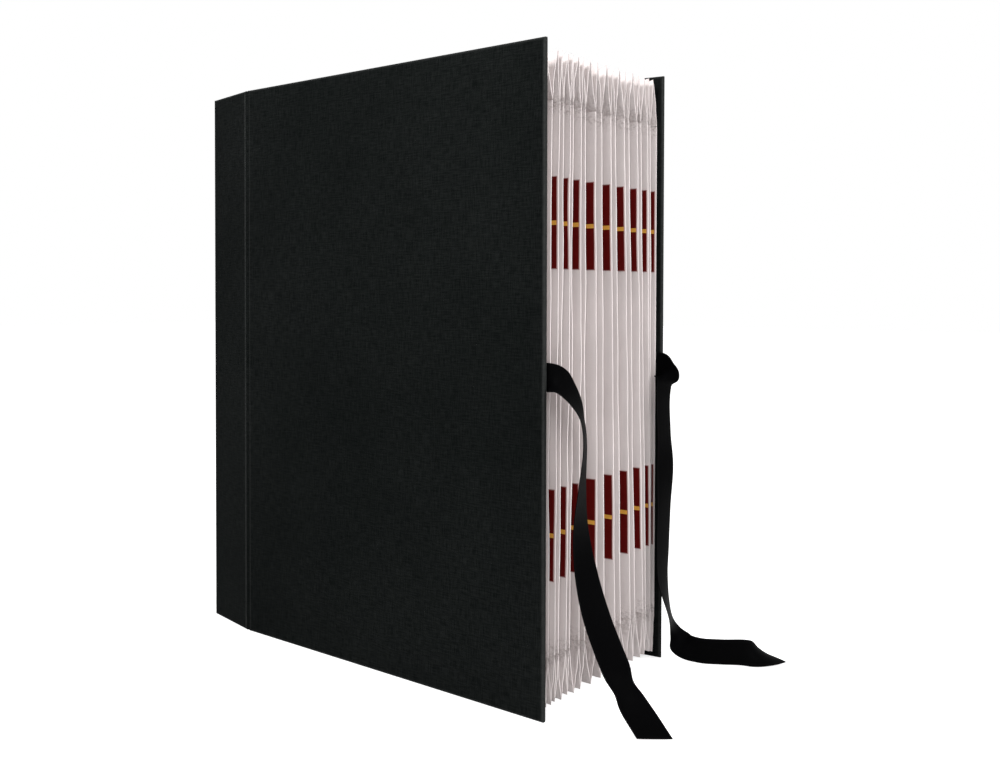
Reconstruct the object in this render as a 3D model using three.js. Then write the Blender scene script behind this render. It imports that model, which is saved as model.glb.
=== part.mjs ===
// Expanding file: a cloth-covered case of hinged boards round a fan of paper pockets.
// Millimetres, +Z up. The file stands on its lower end, spine towards -X, mouth towards +X,
// front cover towards -Y. The origin is the middle of the footprint, on the floor.

import * as THREE from 'three';
import { mergeVertices } from 'three/addons/utils/BufferGeometryUtils.js';

// Case
const caseHeight = 350;
const boardThickness = 3;
const boardEdgeRadius = 0.8;
const coverBoardWidth = 241;
const hingeStripWidth = 46;
const spineBoardWidth = 66;
const clothJoint = 4;
const clothThickness = 0.7;
const mouthThickness = 130;
const coverSplay = THREE.MathUtils.degToRad(4);

// Lining
const liningThickness = 0.5;
const liningMargin = 5;

// Pockets
const pocketCount = 18;
const leafThickness = 0.6;
const leafInset = 3;
const mouthRecess = 3;
const gussetDepth = 27;
const foldWidth = 0.6;
const foldHeight = 1.5;
const backFoldDepth = 9;
const pocketCrowding = 0.05;

// Index labels
const labelHeight = 48.5;
const labelWidth = 15;
const labelThickness = 0.25;
const labelEdgeMargin = 0.6;
const labelOffset = 82;

// Ribbon ties
const ribbonWidth = 15;
const ribbonThickness = 0.8;
const ribbonSteps = 46;
const ribbonExitHeight = 177;

// Clearance between pieces that touch
const gap = 0.3;

// Sizes worked out from the ones above
const spineWidth = spineBoardWidth + clothJoint;
const stripReach = hingeStripWidth + clothJoint;
const coverReach = clothJoint / 2 + coverBoardWidth;
const hingeY = mouthThickness / 2 - coverReach * Math.sin(coverSplay);
const stripSplay = Math.asin((hingeY - spineWidth / 2) / stripReach);
const hingeX = stripReach * Math.cos(stripSplay);
const foreEdgeX = hingeX + coverReach * Math.cos(coverSplay);
const centreX = foreEdgeX / 2;
const mouthX = foreEdgeX - mouthRecess;
const liningDepth = boardThickness + gap + liningThickness;
const backFoldX = liningDepth + gap;
const leafStartX = backFoldX + backFoldDepth + gap;
const leafBottom = leafInset + gussetDepth + gap;
const leafTop = caseHeight - leafBottom;

const cloth = { color: 0x17191a, roughness: 0.85, metalness: 0 };
const paper = { color: 0xdcd3d0, roughness: 0.9, metalness: 0 };
const red = { color: 0x5c0d0f, roughness: 0.55, metalness: 0 };
const satin = { color: 0x070708, roughness: 0.6, metalness: 0 };

const file = new THREE.Group();
file.position.x = -centreX;

function addMesh(parent, name, geometry, look) {
  const mesh = new THREE.Mesh(geometry, new THREE.MeshStandardMaterial(look));
  mesh.name = name;
  parent.add(mesh);
  return mesh;
}

// Only positions are kept, with shared corners merged
function solid(geometry) {
  geometry.deleteAttribute('normal');
  geometry.deleteAttribute('uv');
  return mergeVertices(geometry, 1e-4);
}

// A board seen in plan, its long edges rounded by the cloth that wraps them
function boardGeometry(x0, x1, y0, y1, height, radius) {
  const outline = new THREE.Shape();
  const low = Math.min(y0, y1);
  const high = Math.max(y0, y1);
  outline.moveTo(x0 + radius, low);
  outline.lineTo(x1 - radius, low);
  outline.absarc(x1 - radius, low + radius, radius, -Math.PI / 2, 0);
  outline.absarc(x1 - radius, high - radius, radius, 0, Math.PI / 2);
  outline.lineTo(x0 + radius, high);
  outline.absarc(x0 + radius, high - radius, radius, Math.PI / 2, Math.PI);
  outline.absarc(x0 + radius, low + radius, radius, Math.PI, 1.5 * Math.PI);
  return solid(new THREE.ExtrudeGeometry(outline, {
    depth: height, bevelEnabled: false, curveSegments: 2,
  }));
}

function slab(x0, x1, y0, y1, z0, z1) {
  const box = new THREE.BoxGeometry(x1 - x0, Math.abs(y1 - y0), z1 - z0);
  box.translate((x0 + x1) / 2, (y0 + y1) / 2, (z0 + z1) / 2);
  return box;
}

// Plan of the case: half the width between the inner faces, at a distance from the spine
const innerOffset = liningDepth + gap + leafThickness / 2;
const hingeHalf = hingeY - innerOffset / Math.cos(coverSplay);
const startHalf = spineWidth / 2 + leafStartX * Math.tan(stripSplay) - innerOffset / Math.cos(stripSplay);
const mouthHalf = mouthThickness / 2 - innerOffset / Math.cos(coverSplay) - mouthRecess * Math.tan(coverSplay);

function halfWidth(x) {
  if (x < hingeX) {
    return THREE.MathUtils.mapLinear(x, leafStartX, hingeX, startHalf, hingeHalf);
  }
  return THREE.MathUtils.mapLinear(x, hingeX, mouthX, hingeHalf, mouthHalf);
}

// Place of a fold across the file, from -1 at the front cover to 1 at the back one.
// The pockets by the covers are pressed closer than those in the middle.
function across(index) {
  const even = (2 * index) / pocketCount - 1;
  return even + pocketCrowding * Math.sin(Math.PI * even);
}

// A closed body lofted through sections that have the same number of points
function loft(sections) {
  const count = sections[0].length;
  const positions = sections.flat().flatMap((point) => [point.x, point.y, point.z]);
  const indices = [];
  for (let s = 0; s + 1 < sections.length; s += 1) {
    for (let k = 0; k < count; k += 1) {
      const a = s * count + k;
      const b = s * count + (k + 1) % count;
      indices.push(a, b, b + count, a, b + count, a + count);
    }
  }
  return { positions, indices, count };
}

function closedLoft(sections, capOutline) {
  const { positions, indices, count } = loft(sections);
  const last = (sections.length - 1) * count;
  const triangles = THREE.ShapeUtils.triangulateShape(capOutline, []);
  const corners = triangles[0].map((k) => capOutline[k]);
  const sameTurn = THREE.ShapeUtils.isClockWise(corners) === THREE.ShapeUtils.isClockWise(capOutline);
  for (const triangle of triangles) {
    const [a, b, c] = sameTurn ? triangle : [...triangle].reverse();
    indices.push(c, b, a, last + a, last + b, last + c);
  }
  const geometry = new THREE.BufferGeometry();
  geometry.setAttribute('position', new THREE.Float32BufferAttribute(positions, 3));
  geometry.setIndex(indices);
  return outward(geometry);
}

// Turns a body whose faces point inwards the right way round
function outward(geometry) {
  const p = geometry.getAttribute('position');
  const index = geometry.getIndex();
  const [a, b, c] = [new THREE.Vector3(), new THREE.Vector3(), new THREE.Vector3()];
  let volume = 0;
  for (let i = 0; i < index.count; i += 3) {
    a.fromBufferAttribute(p, index.getX(i));
    b.fromBufferAttribute(p, index.getX(i + 1));
    c.fromBufferAttribute(p, index.getX(i + 2));
    volume += a.dot(b.cross(c));
  }
  if (volume < 0) {
    geometry.setIndex(Array.from(index.array).reverse());
  }
  return geometry;
}

// Spine board, standing between the two hinge strips
addMesh(file, 'spine_board',
  boardGeometry(0, boardThickness, -spineBoardWidth / 2, spineBoardWidth / 2, caseHeight, boardEdgeRadius),
  cloth);
addMesh(file, 'spine_lining',
  slab(boardThickness + gap, liningDepth, liningMargin - spineBoardWidth / 2,
    spineBoardWidth / 2 - liningMargin, liningMargin, caseHeight - liningMargin),
  cloth);

// Cloth alone bridges the gap between two boards. It bends at the corner where their outer
// faces would meet. before and after are the angles of the boards in plan.
function clothGeometry(cornerPoint, before, after, inward) {
  const reach = clothJoint / 2 - gap;
  const turned = (angle) => new THREE.Vector2(Math.cos(angle), Math.sin(angle));
  const [back, ahead] = [turned(before).negate(), turned(after)];
  const quarter = inward * Math.PI / 2;
  const bisector = turned(before + quarter).add(turned(after + quarter)).normalize();
  const steepness = bisector.dot(turned(before + quarter));
  const row = (inset) => [
    cornerPoint.clone().addScaledVector(back, reach).addScaledVector(turned(before + quarter), inset),
    cornerPoint.clone().addScaledVector(bisector, inset / steepness),
    cornerPoint.clone().addScaledVector(ahead, reach).addScaledVector(turned(after + quarter), inset),
  ];
  const inset = boardEdgeRadius / 2;
  const outline = new THREE.Shape([...row(inset), ...row(inset + clothThickness).reverse()]);
  const strip = new THREE.ExtrudeGeometry(outline, { depth: caseHeight, bevelEnabled: false });
  return solid(strip);
}

// The boards of one side hang on vertical cloth joints. inward is the way to the pockets.
function addSide(side, inward) {
  const corner = new THREE.Group();
  corner.position.set(0, -inward * spineWidth / 2, 0);
  corner.rotation.z = -inward * stripSplay;
  file.add(corner);
  const stripStart = clothJoint / 2;
  const stripEnd = stripStart + hingeStripWidth;
  addMesh(corner, `${side}_hinge_strip`,
    boardGeometry(stripStart, stripEnd, 0, inward * boardThickness, caseHeight, boardEdgeRadius),
    cloth);

  const [cornerPoint, hingePoint] = [[0, spineWidth / 2], [hingeX, hingeY]]
    .map(([x, y]) => new THREE.Vector2(x, -inward * y));
  addMesh(file, `${side}_spine_cloth`,
    clothGeometry(cornerPoint, -inward * Math.PI / 2, -inward * stripSplay, inward), cloth);
  addMesh(file, `${side}_hinge_cloth`,
    clothGeometry(hingePoint, -inward * stripSplay, -inward * coverSplay, inward), cloth);

  const cover = new THREE.Group();
  cover.position.set(hingeX, -inward * hingeY, 0);
  cover.rotation.z = -inward * coverSplay;
  file.add(cover);
  addMesh(cover, `${side}_cover`,
    boardGeometry(clothJoint / 2, coverReach, 0, inward * boardThickness, caseHeight, boardEdgeRadius),
    cloth);
  addMesh(cover, `${side}_lining`,
    slab(clothJoint / 2 + liningMargin, coverReach - liningMargin, inward * (boardThickness + gap),
      inward * liningDepth, liningMargin, caseHeight - liningMargin),
    cloth);
}

addSide('front', 1);
addSide('back', -1);

// Leaves: the paper walls between the pockets, each bent once where the cover's hinge is
function leafPoints(index, shift) {
  const place = across(index);
  return [leafStartX, hingeX, mouthX].map((x) => [x, place * halfWidth(x) + shift]);
}

function leafGeometry(index) {
  const low = leafPoints(index, -leafThickness / 2);
  const high = leafPoints(index, leafThickness / 2).reverse();
  const outline = new THREE.Shape([...low, ...high].map(([x, y]) => new THREE.Vector2(x, y)));
  const leaf = new THREE.ExtrudeGeometry(outline, { depth: leafTop - leafBottom, bevelEnabled: false });
  leaf.translate(0, 0, leafBottom);
  return solid(leaf);
}

for (let i = 0; i <= pocketCount; i += 1) {
  addMesh(file, `leaf_${String(i).padStart(2, '0')}`, leafGeometry(i), paper);
}

// A pleated strip: its inner folds meet the leaves and its outer folds stand between them.
// place gives a fold's position across the strip and height goes from inner to outer folds.
function pleatOutline(foldPlaces, width, depth) {
  const crests = [];
  const troughs = [];
  const half = foldWidth / 2;
  foldPlaces.forEach((place, k) => {
    const at = place * width;
    const isOuter = k % 2 === 1;
    const isEnd = k === 0 || k === foldPlaces.length - 1;
    if (isOuter) {
      crests.push([at - half, depth], [at + half, depth]);
      troughs.push([at, depth - foldHeight]);
    } else if (isEnd) {
      crests.push([at, foldHeight]);
      troughs.push([at + (k === 0 ? half : -half), 0]);
    } else {
      crests.push([at, foldHeight]);
      troughs.push([at - half, 0], [at + half, 0]);
    }
  });
  return [...crests, ...troughs.reverse()];
}

const foldPlaces = Array.from({ length: 2 * pocketCount + 1 }, (unused, k) => across(k / 2));

// End bellows: pleats that close the pockets at the top and the bottom of the file
function endBellows(baseZ, direction) {
  const stations = [leafStartX, hingeX, mouthX];
  const sections = stations.map((x) => pleatOutline(foldPlaces, halfWidth(x), gussetDepth)
    .map(([y, rise]) => new THREE.Vector3(x, y, baseZ + direction * rise)));
  const cap = pleatOutline(foldPlaces, halfWidth(leafStartX), gussetDepth)
    .map(([y, rise]) => new THREE.Vector2(y, rise));
  return closedLoft(sections, cap);
}

addMesh(file, 'top_bellows', endBellows(leafTop + gap, 1), paper);
addMesh(file, 'bottom_bellows', endBellows(leafBottom - gap, -1), paper);

// Back bellows: the same pleats behind the leaves, against the spine lining
function backBellows() {
  const outline = pleatOutline(foldPlaces, startHalf, backFoldDepth);
  const sections = [leafBottom, leafTop].map((z) => outline
    .map(([y, rise]) => new THREE.Vector3(leafStartX - gap - rise, y, z)));
  return closedLoft(sections, outline.map(([y, rise]) => new THREE.Vector2(y, rise)));
}

addMesh(file, 'back_bellows', backBellows(), paper);

// Index labels: two on every other leaf, on the face towards the front cover
const leafRun = mouthX - hingeX;

function addLabel(name, index, centreZ) {
  const place = across(index);
  const turn = Math.atan(place * (mouthHalf - hingeHalf) / leafRun);
  const fromEdge = labelEdgeMargin + labelWidth / 2;
  const offFace = leafThickness / 2 + gap + labelThickness / 2;
  const label = addMesh(file, name, new THREE.BoxGeometry(labelWidth, labelThickness, labelHeight), red);
  label.rotation.z = turn;
  label.position.set(
    mouthX - fromEdge * Math.cos(turn) + offFace * Math.sin(turn),
    place * mouthHalf - fromEdge * Math.sin(turn) - offFace * Math.cos(turn),
    centreZ,
  );
}

for (let i = 2; i <= pocketCount; i += 2) {
  const number = String(i / 2).padStart(2, '0');
  addLabel(`upper_label_${number}`, i, caseHeight / 2 + labelOffset);
  addLabel(`lower_label_${number}`, i, caseHeight / 2 - labelOffset);
}

// Ribbon ties lie against the covers' inner faces and leave their fore edges half way up. Each
// row is a point of the centre line, from the fore edge on, then the way across the ribbon there.
// The front one's end is cut level with the surface that it touches.
const frontRibbonRoute = [
  [0.8, 0.15, 0, 0, 0, 1],
  [8.7, 1.7, -0.6, 0.1, 0.2, 1],
  [16.5, 3, -8, 0.1, 0.5, 0.85],
  [20.3, 3.6, -19, -0.1, 0.85, 0.45],
  [20.2, 3.8, -34, -0.42, 0.9, 0.15],
  [18.6, 3.8, -55, -0.3, 0.95, 0],
  [17.8, 3.8, -76, -0.05, 1, 0.05],
  [20.6, 4.4, -98, 0.25, 0.95, 0.15],
  [26.4, 5.4, -120, 0.5, 0.85, 0.25],
  [36, 7, -143, 0.7, 0.7, 0.3],
  [45, 8.6, -160.5, 0.75, 0.6, 0.25],
  [53, 10, -171, 0.8, 0.6, 0.1],
];
const backRibbonRoute = [
  [0.8, -0.1, 0, 0, 0, 1],
  [5, -0.4, -1, 0.1, -0.2, 1],
  [8.5, -1, -6, 0.5, -0.1, 0.8],
  [7.5, -1.8, -14, 0.6, 0.5, 0.4],
  [4.6, -2.6, -24, 0.2, 0.9, 0.1],
  [4.2, -3, -40, 0.05, 1, 0],
  [5, -3, -60, 0.2, 0.95, 0],
  [4.4, -3, -85, 0.05, 1, 0],
  [3.8, -3, -110, 0, 1, 0],
  [4, -3, -128, -0.1, 1, 0],
  [7.5, -2, -146, -0.4, 0.9, 0.15],
  [10.5, -0.6, -158, -0.3, 0.6, 0.6],
  [15, 1.8, -166.4, 0, 0.15, 1],
  [24, 5, -168.9, 0, 0, 1],
  [36, 10, -168.9, 0, 0, 1],
  [48, 17.5, -169, -0.1, 0.1, 0.8],
  [55, 27, -172.4, -0.5, 0.5, 0.35],
  [60, 37, -175.2, -0.8, 0.4, 0],
];

function addRibbon(name, route, side, standsOnEnd) {
  const inner = mouthThickness / 2 - (boardThickness + gap + ribbonThickness / 2) / Math.cos(coverSplay);
  const start = new THREE.Vector3(foreEdgeX, side * inner, ribbonExitHeight);
  const seat = mouthRecess - 2 * gap;
  const rows = [[-seat, -side * seat * Math.tan(coverSplay), 0, 0, 0, 1], ...route];
  const line = new THREE.CatmullRomCurve3(
    rows.map(([x, y, z]) => new THREE.Vector3(x, y, z).add(start)));
  const ways = new THREE.CatmullRomCurve3(rows.map((row) => new THREE.Vector3(row[3], row[4], row[5])));
  const sections = [];
  for (let i = 0; i <= ribbonSteps; i += 1) {
    const t = i / ribbonSteps;
    const centre = line.getPoint(t);
    const along = line.getTangent(t);
    const across = ways.getPoint(t);
    across.addScaledVector(along, -across.dot(along)).normalize().multiplyScalar(ribbonWidth / 2);
    const face = new THREE.Vector3().crossVectors(along, across).setLength(ribbonThickness / 2);
    sections.push([[1, 1], [-1, 1], [-1, -1], [1, -1]].map(([a, b]) => centre.clone()
      .addScaledVector(across, a).addScaledVector(face, b)));
  }
  if (standsOnEnd) {
    const along = line.getTangent(1);
    for (const corner of sections[ribbonSteps]) {
      corner.addScaledVector(along, Math.max(0, (corner.z - ribbonThickness) / -along.z));
    }
  }
  const square = [[1, 1], [-1, 1], [-1, -1], [1, -1]].map(([x, y]) => new THREE.Vector2(x, y));
  addMesh(file, name, closedLoft(sections, square), satin);
}

addRibbon('front_ribbon', frontRibbonRoute, -1, true);
addRibbon('back_ribbon', backRibbonRoute, 1, false);

export default file;
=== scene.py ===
import math

import bmesh
import bpy
from mathutils import Matrix, Vector, noise


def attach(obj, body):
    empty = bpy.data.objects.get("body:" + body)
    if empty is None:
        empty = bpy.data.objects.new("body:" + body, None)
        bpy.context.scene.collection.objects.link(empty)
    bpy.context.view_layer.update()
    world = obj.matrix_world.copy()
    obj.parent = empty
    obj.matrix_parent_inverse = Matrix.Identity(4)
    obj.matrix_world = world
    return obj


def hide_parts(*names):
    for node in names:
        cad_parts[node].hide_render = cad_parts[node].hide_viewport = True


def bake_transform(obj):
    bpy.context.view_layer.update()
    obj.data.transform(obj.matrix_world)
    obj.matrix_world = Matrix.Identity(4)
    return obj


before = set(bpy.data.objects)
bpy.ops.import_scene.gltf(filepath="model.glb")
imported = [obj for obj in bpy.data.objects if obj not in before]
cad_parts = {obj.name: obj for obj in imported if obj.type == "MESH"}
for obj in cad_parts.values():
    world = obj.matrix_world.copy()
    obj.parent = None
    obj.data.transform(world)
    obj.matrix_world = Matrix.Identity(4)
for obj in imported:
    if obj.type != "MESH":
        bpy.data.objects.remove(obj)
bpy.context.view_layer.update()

mm = 0.001

# The case in plan, in mm: x runs from the spine's outer face to the mouth, y across the file
caseSizes = {
    "height": 350.0,
    "boardThickness": 3.0,
    "coverBoardWidth": 241.0,
    "hingeStripWidth": 46.0,
    "spineBoardWidth": 66.0,
    "clothJoint": 4.0,
    "mouthThickness": 130.0,
    "coverSplay": math.radians(4),
    "liningThickness": 0.5,
    "gap": 0.3,
}
caseHeight = caseSizes["height"]
boardThickness = caseSizes["boardThickness"]
coverSplay = caseSizes["coverSplay"]
gap = caseSizes["gap"]
halfJoint = caseSizes["clothJoint"] / 2
spineWidth = caseSizes["spineBoardWidth"] + caseSizes["clothJoint"]
coverReach = halfJoint + caseSizes["coverBoardWidth"]
hingeY = caseSizes["mouthThickness"] / 2 - coverReach * math.sin(coverSplay)
stripReach = caseSizes["hingeStripWidth"] + caseSizes["clothJoint"]
stripSplay = math.asin((hingeY - spineWidth / 2) / stripReach)
hingeX = stripReach * math.cos(stripSplay)
foreEdgeX = hingeX + coverReach * math.cos(coverSplay)
centreX = foreEdgeX / 2
liningDepth = boardThickness + gap + caseSizes["liningThickness"]


def toFrame(x, y, z):
    return Vector(((x - centreX) * mm, y * mm, z * mm))


# Camera, at the photograph's viewing angle
cameraSetup = {
    "place": (0.45963, -0.5364, 0.2206),
    "turnedLeft": math.radians(35.948),
    "pitch": math.radians(-1.24),
    "roll": math.radians(0.145),
    "lens": 40.14,
    "shiftY": -0.0647,
}


def addCamera():
    yaw, pitch, roll = cameraSetup["turnedLeft"], cameraSetup["pitch"], cameraSetup["roll"]
    ahead = Vector((-math.sin(yaw) * math.cos(pitch), math.cos(yaw) * math.cos(pitch), math.sin(pitch)))
    right = Vector((math.cos(yaw), math.sin(yaw), 0))
    up = right.cross(ahead)
    lensRight = right * math.cos(roll) + up * math.sin(roll)
    lensUp = up * math.cos(roll) - right * math.sin(roll)
    camera = bpy.data.objects.new("camera", bpy.data.cameras.new("camera"))
    bpy.context.scene.collection.objects.link(camera)
    turn = Matrix((lensRight, lensUp, -ahead)).transposed().to_4x4()
    camera.matrix_world = Matrix.Translation(cameraSetup["place"]) @ turn
    camera.data.sensor_width = 36
    camera.data.lens = cameraSetup["lens"]
    camera.data.shift_y = cameraSetup["shiftY"]
    bpy.context.scene.camera = camera


addCamera()
print("camera set")


# Short ways to wire shader and geometry nodes
def addNode(tree, kind, values=None, settings=None):
    node = tree.nodes.new(kind)
    for key, value in (settings or {}).items():
        setattr(node, key, value)
    for key, value in (values or {}).items():
        join(tree, value, node.inputs[key])
    return node


def join(tree, source, socket):
    if isinstance(source, bpy.types.NodeSocket):
        tree.links.new(source, socket)
    else:
        socket.default_value = source


def calc(tree, operation, *terms):
    node = tree.nodes.new("ShaderNodeMath")
    node.operation = operation
    for socket, term in zip(node.inputs, terms):
        join(tree, term, socket)
    return node.outputs[0]


def spread(tree, value, fromLow, fromHigh, toLow=0.0, toHigh=1.0):
    node = addNode(tree, "ShaderNodeMapRange", {
        "Value": value, "From Min": fromLow, "From Max": fromHigh, "To Min": toLow, "To Max": toHigh})
    return node.outputs["Result"]


def blendColours(tree, factor, first, second, way="MIX"):
    node = tree.nodes.new("ShaderNodeMix")
    node.data_type = "RGBA"
    node.blend_type = way
    join(tree, factor, node.inputs[0])
    join(tree, first, node.inputs[6])
    join(tree, second, node.inputs[7])
    return node.outputs[2]


def newGroup(name, inputs, outputs):
    group = bpy.data.node_groups.new(name, "ShaderNodeTree")
    for label, kind, value in inputs:
        socket = group.interface.new_socket(label, in_out="INPUT", socket_type=kind)
        if value is not None:
            socket.default_value = value
    for label, kind in outputs:
        group.interface.new_socket(label, in_out="OUTPUT", socket_type=kind)
    return group, group.nodes.new("NodeGroupInput").outputs, group.nodes.new("NodeGroupOutput").inputs


def useGroup(tree, group, values):
    node = tree.nodes.new("ShaderNodeGroup")
    node.node_tree = group
    for key, value in values.items():
        join(tree, value, node.inputs[key])
    return node.outputs


def newMaterial(name, colour):
    material = bpy.data.materials.new(name)
    material.use_nodes = True
    material.diffuse_color = (*colour, 1)
    tree = material.node_tree
    shader = tree.nodes["Principled BSDF"]
    return material, tree, shader


# Over-and-under threads on the piece's own UV map, which is in metres
def makeWeaveGroup():
    group, given, result = newGroup("plainWeave", [
        ("Vector", "NodeSocketVector", None),
        ("Thread Spacing", "NodeSocketFloat", 0.0006),
        ("Unevenness", "NodeSocketFloat", 0.3),
    ], [("Height", "NodeSocketFloat"), ("Slub", "NodeSocketFloat")])
    drift = addNode(group, "ShaderNodeTexNoise", {"Vector": given["Vector"], "Scale": 900.0, "Detail": 2.0})
    push = calc(group, "MULTIPLY", calc(group, "SUBTRACT", drift.outputs[0], 0.5), given["Unevenness"])
    split = addNode(group, "ShaderNodeSeparateXYZ", {"Vector": given["Vector"]})
    waves = []
    for axis in ("X", "Y"):
        turns = calc(group, "DIVIDE", split.outputs[axis], given["Thread Spacing"])
        turns = calc(group, "ADD", turns, push)
        waves.append(calc(group, "SINE", calc(group, "MULTIPLY", turns, math.pi)))
    crossing = calc(group, "MULTIPLY", waves[0], waves[1])
    slubs = []
    for stretch in ((140, 1400, 1), (1400, 140, 1)):
        drawn = addNode(group, "ShaderNodeMapping", {"Vector": given["Vector"], "Scale": stretch})
        noisy = addNode(group, "ShaderNodeTexNoise", {
            "Vector": drawn.outputs[0], "Scale": 1.0, "Detail": 2.0})
        slubs.append(noisy.outputs[0])
    slub = calc(group, "MULTIPLY", calc(group, "ADD", *slubs), 0.5)
    height = calc(group, "MULTIPLY_ADD", crossing, 0.5, calc(group, "MULTIPLY", slub, 0.8))
    group.links.new(height, result["Height"])
    group.links.new(slub, result["Slub"])
    return group


# Broad cloudiness and fine specks, for colour that isn't quite even
def makeMottleGroup():
    group, given, result = newGroup("mottle", [
        ("Vector", "NodeSocketVector", None),
        ("Cloud Scale", "NodeSocketFloat", 30.0),
        ("Speck Scale", "NodeSocketFloat", 900.0),
    ], [("Cloud", "NodeSocketFloat"), ("Speck", "NodeSocketFloat")])
    cloud = addNode(group, "ShaderNodeTexNoise", {
        "Vector": given["Vector"], "Scale": given["Cloud Scale"], "Detail": 4.0, "Roughness": 0.6})
    speck = addNode(group, "ShaderNodeTexNoise", {
        "Vector": given["Vector"], "Scale": given["Speck Scale"], "Detail": 2.0})
    group.links.new(cloud.outputs[0], result["Cloud"])
    group.links.new(speck.outputs[0], result["Speck"])
    return group


# Rubbed edges: the piece's own "rim" attribute is its distance from an edge in mm
def makeRimGroup():
    group, given, result = newGroup("edgeWear", [
        ("Distance", "NodeSocketFloat", 20.0),
        ("Width", "NodeSocketFloat", 2.0),
        ("Patchiness", "NodeSocketFloat", 0.5),
        ("Noise", "NodeSocketFloat", 0.5),
    ], [("Wear", "NodeSocketFloat")])
    near = spread(group, given["Distance"], 0.0, given["Width"], 1.0, 0.0)
    uneven = calc(group, "SUBTRACT", given["Noise"], 0.5)
    patch = calc(group, "MULTIPLY_ADD", uneven, given["Patchiness"], 1.0)
    wear = calc(group, "MULTIPLY", near, patch)
    group.links.new(calc(group, "MINIMUM", wear, 1.0), result["Wear"])
    return group


weaveGroup = makeWeaveGroup()
mottleGroup = makeMottleGroup()
rimGroup = makeRimGroup()

bookClothLook = {
    "colour": (0.0017, 0.0024, 0.0023),
    "thread": (0.0155, 0.017, 0.0165),
    "rubbed": (0.045, 0.047, 0.046),
    "threadSpacing": 0.00055,
    "roughness": 0.66,
    "weaveDepth": 0.00012,
    "specular": 0.005,
}


def makeBookCloth():
    look = bookClothLook
    material, tree, shader = newMaterial("bookCloth", look["colour"])
    uv = addNode(tree, "ShaderNodeUVMap", settings={"uv_map": "cloth"}).outputs[0]
    rim = addNode(tree, "ShaderNodeAttribute", settings={"attribute_name": "rim"}).outputs["Fac"]
    place = addNode(tree, "ShaderNodeTexCoord").outputs["Object"]
    weave = useGroup(tree, weaveGroup, {
        "Vector": uv, "Thread Spacing": look["threadSpacing"], "Unevenness": 0.35})
    mottle = useGroup(tree, mottleGroup, {"Vector": place, "Cloud Scale": 9.0, "Speck Scale": 500.0})
    wear = useGroup(tree, rimGroup, {
        "Distance": rim, "Width": 1.6, "Patchiness": 1.2, "Noise": mottle["Speck"]})
    raised = calc(tree, "MULTIPLY", spread(tree, weave["Slub"], 0.38, 0.64, 0.15, 0.6),
                  spread(tree, mottle["Cloud"], 0.3, 0.7, 0.6, 1.1))
    threads = blendColours(tree, raised, (*look["colour"], 1), (*look["thread"], 1))
    rubbed = blendColours(tree, calc(tree, "MULTIPLY", wear["Wear"], 0.5), threads, (*look["rubbed"], 1))
    tree.links.new(rubbed, shader.inputs["Base Color"])
    rough = spread(tree, weave["Height"], -0.3, 1.0, look["roughness"] + 0.12, look["roughness"] - 0.06)
    tree.links.new(rough, shader.inputs["Roughness"])
    bump = addNode(tree, "ShaderNodeBump", {
        "Height": weave["Height"], "Strength": 0.55, "Distance": look["weaveDepth"]})
    tree.links.new(bump.outputs[0], shader.inputs["Normal"])
    shader.inputs["Specular IOR Level"].default_value = look["specular"]
    return material


liningLook = {"colour": (0.008, 0.0085, 0.0085), "paler": (0.016, 0.0165, 0.0165), "specular": 0.15}


def makeLining():
    material, tree, shader = newMaterial("liningPaper", liningLook["colour"])
    place = addNode(tree, "ShaderNodeTexCoord").outputs["Object"]
    mottle = useGroup(tree, mottleGroup, {"Vector": place, "Cloud Scale": 40.0, "Speck Scale": 1500.0})
    colour = blendColours(tree, mottle["Cloud"], (*liningLook["colour"], 1), (*liningLook["paler"], 1))
    tree.links.new(colour, shader.inputs["Base Color"])
    tree.links.new(spread(tree, mottle["Speck"], 0.3, 0.7, 0.6, 0.8), shader.inputs["Roughness"])
    shader.inputs["Specular IOR Level"].default_value = liningLook["specular"]
    bump = addNode(tree, "ShaderNodeBump", {"Height": mottle["Speck"], "Strength": 0.2, "Distance": 0.0001})
    tree.links.new(bump.outputs[0], shader.inputs["Normal"])
    return material


paperLook = {
    "leaf": (0.85, 0.78, 0.77),
    "bellows": (0.77, 0.705, 0.695),
    "shade": (0.62, 0.565, 0.56),
    # Painted shade: the darker colour laid into the crumples and fine creases
    "creaseShade": (0.5, 0.44, 0.43),
    "roughness": 0.72,
    "specular": 0.3,
}


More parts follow.
